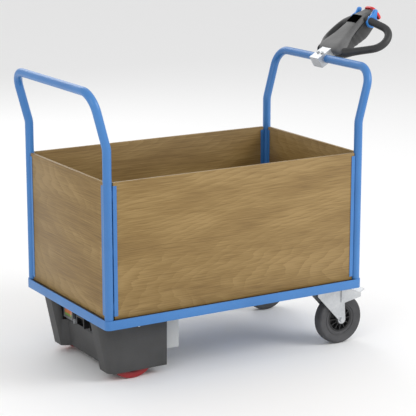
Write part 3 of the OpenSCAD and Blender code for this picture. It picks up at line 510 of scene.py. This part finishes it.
def loft(name, section, rings):
    """Extrudes a closed section along X. Each ring gives its X, half width, bottom and top, in mm."""
    bpy.ops.object.select_all(action="DESELECT")
    bpy.ops.mesh.primitive_circle_add(vertices=len(section), fill_type="NGON", radius=0.01)
    piece = bpy.context.object
    piece.name = name
    bpy.ops.object.mode_set(mode="EDIT")
    along, half, bottom, top = (size / 1000 for size in rings[0])
    for i, (across, up) in enumerate(section):
        points = bmesh.from_edit_mesh(piece.data).verts
        points.ensure_lookup_table()
        for point in points:
            point.select = point.index == i
        goal = Vector((along, across * half, bottom + up * (top - bottom)))
        bpy.ops.transform.translate(value=goal - points[i].co)
    bpy.ops.mesh.select_all(action="SELECT")
    for ring in rings[1:]:
        was = along, half, bottom, top
        along, half, bottom, top = (size / 1000 for size in ring)
        step = along - was[0], 0, bottom - was[2]
        bpy.ops.mesh.extrude_region_move(TRANSFORM_OT_translate={"value": step})
        bpy.ops.transform.resize(
            value=(1, half / was[1], (top - bottom) / (was[3] - was[2])),
            center_override=(along, 0, bottom),
        )
    bpy.ops.mesh.select_all(action="SELECT")
    bpy.ops.mesh.normals_make_consistent(inside=False)
    bpy.ops.object.mode_set(mode="OBJECT")
    return piece


def settle(piece, place, material, body, *nodes):
    """Smooths a piece, puts it in place and lets it stand for CAD nodes."""
    bpy.context.view_layer.objects.active = piece
    smooth = piece.modifiers.new("smooth", "SUBSURF")
    smooth.levels = smooth.render_levels = 2
    bpy.ops.object.modifier_apply(modifier="smooth")
    bpy.ops.object.shade_smooth()
    piece.matrix_world = place
    bpy.ops.object.transform_apply(location=True, rotation=True, scale=True)
    if place.determinant() < 0:
        bpy.ops.object.mode_set(mode="EDIT")
        bpy.ops.mesh.select_all(action="SELECT")
        bpy.ops.mesh.normals_make_consistent(inside=False)
        bpy.ops.object.mode_set(mode="OBJECT")
    piece.data.materials.append(material)
    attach(piece, body)
    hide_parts(*nodes)


# The upper casing's section has a flat crown, a bevel along each side and a short upright edge.
UPPER_SECTION = (
    (-1, 0), (-1, 0.18), (-0.98, 0.42), (-0.82, 0.78), (-0.74, 0.92), (-0.5, 0.98), (0, 1), (0.5, 0.98),
    (0.74, 0.92), (0.82, 0.78), (0.98, 0.42), (1, 0.18), (1, 0), (0.5, 0), (0, 0), (-0.5, 0),
)
UPPER_RINGS = (
    (-31, 44, -15, 3), (-30, 60, -16, 10), (-21, 73, -17, 15), (-4, 79, -17, 17), (12, 77, -17, 16.5),
    (28, 69, -16, 15), (46, 60, -15, 13.4), (66, 52, -14, 12), (90, 46, -14, 10.8), (118, 42, -14, 10.2),
    (124, 41, -14, 10.2), (168, 37, -14, 10.2), (174, 36, -14, 9.4), (194, 33, -14, 2), (206, 30, -14, -4),
    (217, 28, -14, -7), (219, 24, -14, -9),
)
upper = loft("upper_casing", UPPER_SECTION, UPPER_RINGS)
settle(upper, head_frame, head_abs, "platform", "head_upper_shell")

# The lower casing is a deep trough, waisted under the thumbs, with three soft ribs in its flanks.
LOWER_SECTION = (
    (-1, 1), (-1, 0.8), (-0.97, 0.5), (-0.88, 0.22), (-0.66, 0.05), (-0.33, 0), (0, 0), (0.33, 0),
    (0.66, 0.05), (0.88, 0.22), (0.97, 0.5), (1, 0.8), (1, 1), (0.5, 1), (0, 1), (-0.5, 1),
)
LOWER_RINGS = (
    (-27, 40, -40, -19), (-26, 56, -44, -16), (-16, 70, -50, -15), (6, 76, -56, -15), (26, 66, -61, -15),
    (42, 54, -63, -14), (54, 49, -65, -14), (64, 40, -67, -14), (75, 49, -70, -14), (86, 39, -72, -14),
    (97, 48, -75, -14), (108, 38, -78, -14), (120, 44, -80, -14), (138, 42, -80, -14),
    (160, 39, -78, -14), (190, 35, -73, -14), (208, 30, -64, -14), (217, 28, -60, -14),
    (219, 24, -56, -16),
)
lower = loft("lower_casing", LOWER_SECTION, LOWER_RINGS)
settle(lower, head_frame, dark_abs, "platform", "head_lower_shell")

# Each loop is one bent tube, in a plane that droops outwards: straight out from the paddle, round a
# bend, and back to a thick root that the casings grip.
PADDLE_AT = Vector((0.175, -0.0765, -0.027))
LOOP_DROOP, LOOP_PITCH = math.radians(20), math.radians(2.3)
LOOP_RADIUS, LOOP_TUBE = 0.061, 0.0155
LOOP_CORNER, LOOP_ROOT = Vector((-0.005, 0.221)), Vector((-0.189, -0.005))
BOSS_IN = 0.046    # how far the tube runs inwards of the paddle
# The tube is drawn out in short steps at its ends, which keep them square when it is smoothed: shares of
# the straight run, and then of the run home with how far the tube swells at each.
OUT_STEPS = (0.02, 0.3, 0.3, 0.36, 0.02)
HOME_STEPS = ((0.02, 1), (0.4, 1), (0.2, 1.04), (0.16, 1.12), (0.12, 1.12), (0.08, 1.02), (0.02, 0.9))
BEND_STEPS = 12
home = (LOOP_ROOT - LOOP_CORNER).normalized()
bend = math.acos(home.y)
cut = LOOP_RADIUS * math.tan(bend / 2)
loop_plane = (
    head_frame @ Matrix.Translation(PADDLE_AT) @ Matrix.Rotation(LOOP_PITCH, 4, "Y")
    @ Matrix.Rotation(math.pi + LOOP_DROOP, 4, "X")
)
for side, mirror in (("near", 1), ("far", -1)):
    bpy.ops.object.select_all(action="DESELECT")
    bpy.ops.mesh.primitive_circle_add(
        vertices=16, radius=LOOP_TUBE, fill_type="NGON",
        location=(LOOP_CORNER.x, -BOSS_IN, 0), rotation=(math.pi / 2, 0, 0),
    )
    loop = bpy.context.object
    loop.name = "loop_handle_" + side
    bpy.ops.object.transform_apply(location=True, rotation=True, scale=True)
    bpy.ops.object.mode_set(mode="EDIT")
    bpy.ops.mesh.select_all(action="SELECT")
    straight = LOOP_CORNER.y - cut + BOSS_IN
    for share in OUT_STEPS:
        bpy.ops.mesh.extrude_region_move(TRANSFORM_OT_translate={"value": (0, share * straight, 0)})
    bpy.ops.mesh.spin(
        steps=BEND_STEPS, angle=-bend, axis=(0, 0, 1),
        center=(LOOP_CORNER.x - LOOP_RADIUS, LOOP_CORNER.y - cut, 0),
    )
    tail = (LOOP_CORNER - LOOP_ROOT).length - cut
    for share, swell in HOME_STEPS:
        bpy.ops.mesh.extrude_region_move(TRANSFORM_OT_translate={"value": (home * share * tail).to_3d()})
        bpy.ops.transform.resize(value=(swell, swell, swell))
    bpy.ops.mesh.select_all(action="SELECT")
    bpy.ops.mesh.normals_make_consistent(inside=False)
    bpy.ops.object.mode_set(mode="OBJECT")
    place = Matrix.Diagonal((1, mirror, 1, 1)) @ loop_plane
    settle(loop, place, grip_rubber, "platform", "handle_" + side)
eased(2.2, "paddle_near", "paddle_far")

# The reversing button is a shallow cap with a skirt that slides over the casings' tip.
CAP_SECTION = (
    (-1, 0.3), (-1, 0.7), (-0.9, 0.9), (-0.6, 1), (0, 1), (0.6, 1), (0.9, 0.9), (1, 0.7), (1, 0.3),
    (0.9, 0.1), (0.6, 0), (0, 0), (-0.6, 0), (-0.9, 0.1),
)
CAP_RINGS = (
    (221.5, 33, -67, -3), (223, 34, -68, -2), (229, 34, -68, -2), (233, 31, -65, -5), (236, 20, -54, -16),
)
CAP_WALL = 0.0018
cap = loft("reversing_button", CAP_SECTION, CAP_RINGS)
bpy.ops.object.mode_set(mode="EDIT")
for face in bmesh.from_edit_mesh(cap.data).faces:
    face.select = face.normal.x < -0.9
bpy.ops.mesh.delete(type="FACE")
bpy.ops.object.mode_set(mode="OBJECT")
wall = cap.modifiers.new("wall", "SOLIDIFY")
wall.thickness = CAP_WALL
bpy.ops.object.modifier_apply(modifier="wall")
settle(cap, head_frame, red_abs, "belly", "belly_button")
